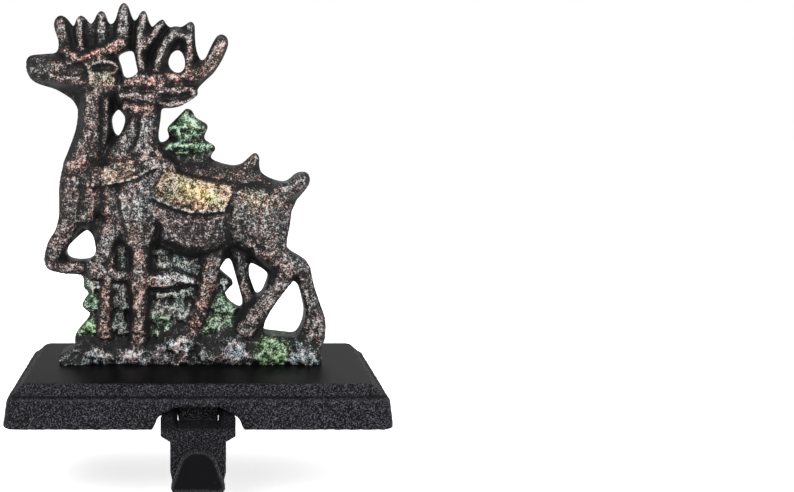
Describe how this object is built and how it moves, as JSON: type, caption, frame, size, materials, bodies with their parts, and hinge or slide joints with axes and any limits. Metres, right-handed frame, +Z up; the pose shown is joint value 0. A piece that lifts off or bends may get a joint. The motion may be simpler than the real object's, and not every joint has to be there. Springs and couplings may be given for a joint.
{
  "type": "mantel stocking holder",
  "caption": "Mantel stocking holder: a hollow cast tray that carries a reindeer relief figure, with a hook that folds under it.",
  "frame": {"origin": "middle of the tray's footprint, on the plane of the rim that stands on the mantel", "axes": "+X along the mantel to the right, +Y away from the room, +Z up"},
  "size_m": [0.16, 0.1098, 0.1948],
  "materials": {
    "black_iron": "black satin paint on rough cast iron",
    "figure_paint": "black paint with dry-brushed bronze, copper, green, gold and silver",
    "steel": "plain steel, zinc plated"
  },
  "bodies": {
    "tray": {"base_tray": "black_iron", "reindeer_figure": "figure_paint", "hook_pin": "steel", "figure_screws": "steel"},
    "hook": {"stocking_hook": "black_iron"}
  },
  "joints": [
    {"name": "hook_fold", "type": "hinge", "parent": "tray", "child": "hook", "pos_m": [0, -0.033, 0.005], "axis": [1, 0, 0], "range_deg": [0, 120]}
  ]
}
